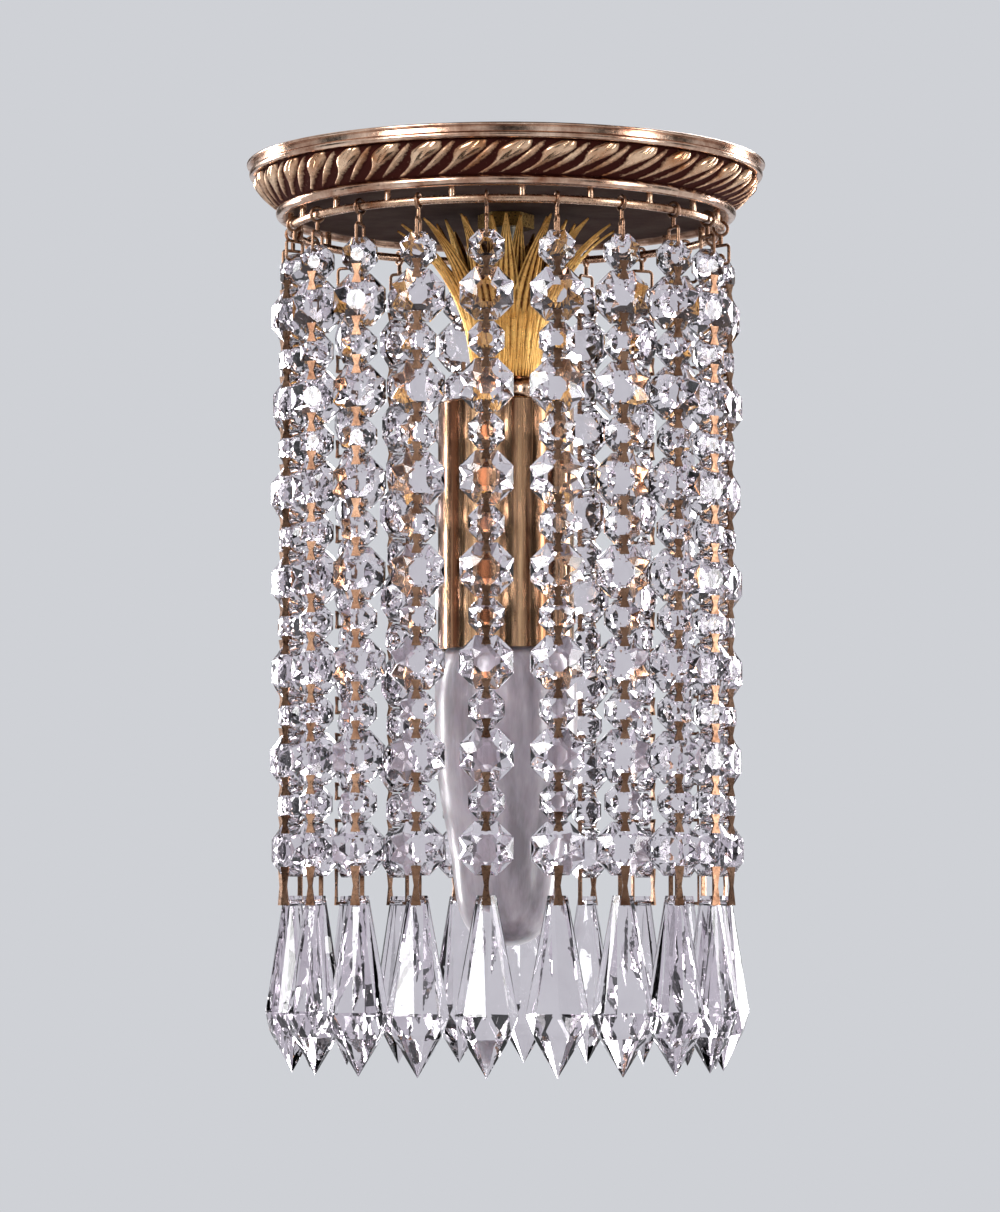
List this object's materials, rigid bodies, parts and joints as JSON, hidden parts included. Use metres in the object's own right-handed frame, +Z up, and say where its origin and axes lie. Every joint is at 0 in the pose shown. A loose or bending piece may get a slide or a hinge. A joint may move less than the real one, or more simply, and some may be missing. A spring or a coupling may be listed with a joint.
{
  "type": "crystal strand ceiling light",
  "caption": "Round brass canopy with a ring of hanging crystal strands ending in spear drops, round a gilt leaf husk, brass sleeve and frosted candle bulb.",
  "frame": {"origin": "centre of the canopy's top face, which lies against the ceiling", "axes": "+Z up into the ceiling along the stem, -Y towards the viewer, +X to the viewer's right"},
  "size_m": [0.128, 0.128, 0.2225],
  "materials": {
    "canopy_brass": "polished rosy brass, aged in the hollows",
    "cast_brass": "cast and burnished, dark in the grooves",
    "gilt_brass": "gilt, softly ribbed",
    "satin_brass": "satin, drawn lengthwise",
    "wire_brass": "drawn wire and pressed sheet",
    "clip_brass": "bent wire and sheet, copper tinted",
    "screw_brass": "turned",
    "zinc_steel": "zinc plated",
    "stem_steel": "threaded, zinc plated",
    "cut_crystal": "cut and polished, faint lilac tint",
    "frosted_glass": "acid frosted, faint lilac tint",
    "mount_glass": "clear drawn glass",
    "black_glass": "fused black insulator",
    "cap_metal": "rolled thread",
    "block_plastic": "moulded, natural",
    "holder_plastic": "moulded, heat resistant",
    "live_insulation": "extruded insulation",
    "neutral_insulation": "extruded insulation"
  },
  "bodies": {
    "root": {"canopy_rim": "canopy_brass", "leaf_band": "cast_brass", "canopy_floor": "canopy_brass", "hanging_ring": "wire_brass", "ceiling_strap": "zinc_steel", "threaded_stem": "stem_steel", "lock_nuts": "screw_brass", "terminal_block": "block_plastic", "brass_screws": "screw_brass", "live_lead": "live_insulation", "neutral_lead": "neutral_insulation", "leaf_husk": "gilt_brass", "husk_collar": "canopy_brass", "lamp_sleeve": "satin_brass", "lampholder": "holder_plastic", "holder_contacts": "wire_brass"},
    "bulb": {"bulb_glass": "frosted_glass", "bulb_cap": "cap_metal", "bulb_insulator": "black_glass", "filament_mount": "mount_glass"},
    "strand_01": {"strand_01_crystals": "cut_crystal", "strand_01_clips": "clip_brass"},
    "strand_02": {"strand_02_crystals": "cut_crystal", "strand_02_clips": "clip_brass"},
    "strand_03": {"strand_03_crystals": "cut_crystal", "strand_03_clips": "clip_brass"},
    "strand_04": {"strand_04_crystals": "cut_crystal", "strand_04_clips": "clip_brass"},
    "strand_05": {"strand_05_crystals": "cut_crystal", "strand_05_clips": "clip_brass"},
    "strand_06": {"strand_06_crystals": "cut_crystal", "strand_06_clips": "clip_brass"},
    "strand_07": {"strand_07_crystals": "cut_crystal", "strand_07_clips": "clip_brass"},
    "strand_08": {"strand_08_crystals": "cut_crystal", "strand_08_clips": "clip_brass"},
    "strand_09": {"strand_09_crystals": "cut_crystal", "strand_09_clips": "clip_brass"},
    "strand_10": {"strand_10_crystals": "cut_crystal", "strand_10_clips": "clip_brass"},
    "strand_11": {"strand_11_crystals": "cut_crystal", "strand_11_clips": "clip_brass"},
    "strand_12": {"strand_12_crystals": "cut_crystal", "strand_12_clips": "clip_brass"},
    "strand_13": {"strand_13_crystals": "cut_crystal", "strand_13_clips": "clip_brass"},
    "strand_14": {"strand_14_crystals": "cut_crystal", "strand_14_clips": "clip_brass"},
    "strand_15": {"strand_15_crystals": "cut_crystal", "strand_15_clips": "clip_brass"},
    "strand_16": {"strand_16_crystals": "cut_crystal", "strand_16_clips": "clip_brass"},
    "strand_17": {"strand_17_crystals": "cut_crystal", "strand_17_clips": "clip_brass"},
    "strand_18": {"strand_18_crystals": "cut_crystal", "strand_18_clips": "clip_brass"},
    "strand_19": {"strand_19_crystals": "cut_crystal", "strand_19_clips": "clip_brass"},
    "strand_20": {"strand_20_crystals": "cut_crystal", "strand_20_clips": "clip_brass"}
  },
  "joints": [
    {"name": "bulb_unscrew", "type": "slide", "parent": "root", "child": "bulb", "axis": [0, 0, -1], "range_m": [0, 0.03]},
    {"name": "strand_01_swing", "type": "hinge", "parent": "root", "child": "strand_01", "pos_m": [-0.00462, -0.0528, -0.0163], "axis": [-0.9962, 0.0872, 0], "range_deg": [-1, 20]},
    {"name": "strand_02_swing", "type": "hinge", "parent": "root", "child": "strand_02", "pos_m": [0.01192, -0.05164, -0.0163], "axis": [-0.9744, -0.225, 0], "range_deg": [-1, 20]},
    {"name": "strand_03_swing", "type": "hinge", "parent": "root", "child": "strand_03", "pos_m": [0.0273, -0.04543, -0.0163], "axis": [-0.8572, -0.515, 0], "range_deg": [-1, 20]},
    {"name": "strand_04_swing", "type": "hinge", "parent": "root", "child": "strand_04", "pos_m": [0.04, -0.03477, -0.0163], "axis": [-0.6561, -0.7547, 0], "range_deg": [-1, 20]},
    {"name": "strand_05_swing", "type": "hinge", "parent": "root", "child": "strand_05", "pos_m": [0.04879, -0.02071, -0.0163], "axis": [-0.3907, -0.9205, 0], "range_deg": [-1, 20]},
    {"name": "strand_06_swing", "type": "hinge", "parent": "root", "child": "strand_06", "pos_m": [0.0528, -0.00462, -0.0163], "axis": [-0.0872, -0.9962, 0], "range_deg": [-1, 20]},
    {"name": "strand_07_swing", "type": "hinge", "parent": "root", "child": "strand_07", "pos_m": [0.05164, 0.01192, -0.0163], "axis": [0.225, -0.9744, 0], "range_deg": [-1, 20]},
    {"name": "strand_08_swing", "type": "hinge", "parent": "root", "child": "strand_08", "pos_m": [0.04543, 0.0273, -0.0163], "axis": [0.515, -0.8572, 0], "range_deg": [-1, 20]},
    {"name": "strand_09_swing", "type": "hinge", "parent": "root", "child": "strand_09", "pos_m": [0.03477, 0.04, -0.0163], "axis": [0.7547, -0.6561, 0], "range_deg": [-1, 20]},
    {"name": "strand_10_swing", "type": "hinge", "parent": "root", "child": "strand_10", "pos_m": [0.02071, 0.04879, -0.0163], "axis": [0.9205, -0.3907, 0], "range_deg": [-1, 20]},
    {"name": "strand_11_swing", "type": "hinge", "parent": "root", "child": "strand_11", "pos_m": [0.00462, 0.0528, -0.0163], "axis": [0.9962, -0.0872, 0], "range_deg": [-1, 20]},
    {"name": "strand_12_swing", "type": "hinge", "parent": "root", "child": "strand_12", "pos_m": [-0.01192, 0.05164, -0.0163], "axis": [0.9744, 0.225, 0], "range_deg": [-1, 20]},
    {"name": "strand_13_swing", "type": "hinge", "parent": "root", "child": "strand_13", "pos_m": [-0.0273, 0.04543, -0.0163], "axis": [0.8572, 0.515, 0], "range_deg": [-1, 20]},
    {"name": "strand_14_swing", "type": "hinge", "parent": "root", "child": "strand_14", "pos_m": [-0.04, 0.03477, -0.0163], "axis": [0.6561, 0.7547, 0], "range_deg": [-1, 20]},
    {"name": "strand_15_swing", "type": "hinge", "parent": "root", "child": "strand_15", "pos_m": [-0.04879, 0.02071, -0.0163], "axis": [0.3907, 0.9205, 0], "range_deg": [-1, 20]},
    {"name": "strand_16_swing", "type": "hinge", "parent": "root", "child": "strand_16", "pos_m": [-0.0528, 0.00462, -0.0163], "axis": [0.0872, 0.9962, 0], "range_deg": [-1, 20]},
    {"name": "strand_17_swing", "type": "hinge", "parent": "root", "child": "strand_17", "pos_m": [-0.05164, -0.01192, -0.0163], "axis": [-0.225, 0.9744, 0], "range_deg": [-1, 20]},
    {"name": "strand_18_swing", "type": "hinge", "parent": "root", "child": "strand_18", "pos_m": [-0.04543, -0.0273, -0.0163], "axis": [-0.515, 0.8572, 0], "range_deg": [-1, 20]},
    {"name": "strand_19_swing", "type": "hinge", "parent": "root", "child": "strand_19", "pos_m": [-0.03477, -0.04, -0.0163], "axis": [-0.7547, 0.6561, 0], "range_deg": [-1, 20]},
    {"name": "strand_20_swing", "type": "hinge", "parent": "root", "child": "strand_20", "pos_m": [-0.02071, -0.04879, -0.0163], "axis": [-0.9205, 0.3907, 0], "range_deg": [-1, 20]}
  ]
}
